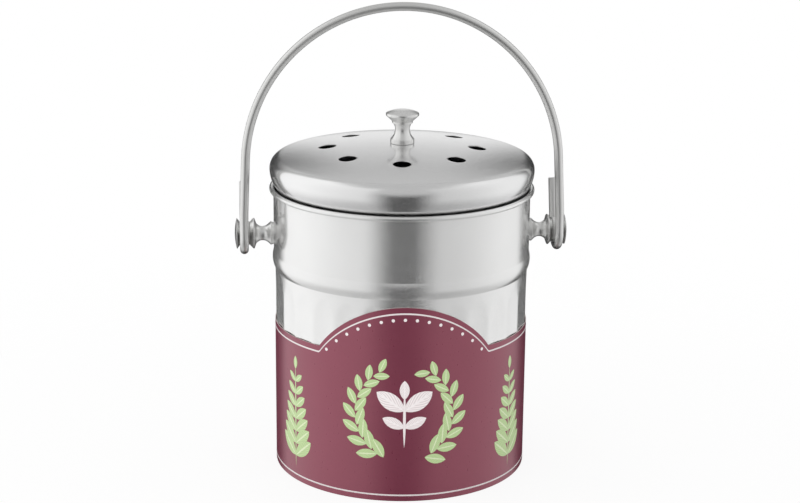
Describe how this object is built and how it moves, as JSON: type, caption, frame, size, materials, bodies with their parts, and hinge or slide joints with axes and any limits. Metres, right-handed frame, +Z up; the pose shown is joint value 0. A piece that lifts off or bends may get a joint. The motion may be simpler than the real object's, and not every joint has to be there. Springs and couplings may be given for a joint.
{
  "type": "compost bin",
  "caption": "Round steel kitchen compost pail with a vented domed lid, carbon filter, turned knob, swinging rod handle on waisted lugs and a printed card sleeve.",
  "frame": {"origin": "centre of the pail's foot, on the surface that it stands on", "axes": "+Z up along the pail's axis, X along the handle's pivots, front towards -Y"},
  "size_m": [0.1746, 0.1382, 0.2452],
  "materials": {
    "pail_steel": "bright satin",
    "lid_steel": "fine satin",
    "handle_steel": "satin drawn rod",
    "knob_steel": "fine turned",
    "fastener_steel": "bright machined",
    "black_silicone": "matt",
    "carbon_foam": "open cell foam",
    "sleeve_card": "matt printed card"
  },
  "bodies": {
    "pail": {"bin_wall": "pail_steel", "bin_base": "pail_steel", "card_sleeve": "sleeve_card", "left_lug_spool": "knob_steel", "left_pivot_bolt": "knob_steel", "left_lug_washer": "black_silicone", "left_cap_nut": "fastener_steel", "right_lug_spool": "knob_steel", "right_pivot_bolt": "knob_steel", "right_lug_washer": "black_silicone", "right_cap_nut": "fastener_steel"},
    "bail": {"handle": "handle_steel"},
    "lid": {"lid_dome": "lid_steel", "lid_plug_ring": "lid_steel", "lid_seal": "black_silicone", "knob": "knob_steel", "knob_stud": "fastener_steel", "stud_washer": "fastener_steel", "stud_nut": "fastener_steel"},
    "filter_set": {"filter_pan": "lid_steel", "carbon_filter": "carbon_foam"},
    "filter_nut": {"thumb_nut": "fastener_steel"}
  },
  "joints": [
    {"name": "handle_swing", "type": "hinge", "parent": "pail", "child": "bail", "pos_m": [0, 0, 0.1247], "axis": [1, 0, 0], "range_deg": [-143, 143]},
    {"name": "lid_lift", "type": "slide", "parent": "pail", "child": "lid", "axis": [0, 0, 1], "range_m": [0, 0.036]},
    {"name": "filter_drop", "type": "slide", "parent": "lid", "child": "filter_set", "axis": [0, 0, -1], "range_m": [0, 0.02]},
    {"name": "thumb_nut_turn", "type": "hinge", "parent": "filter_set", "child": "filter_nut", "pos_m": [0, 0, 0.1525], "axis": [0, 0, 1], "continuous": true}
  ]
}
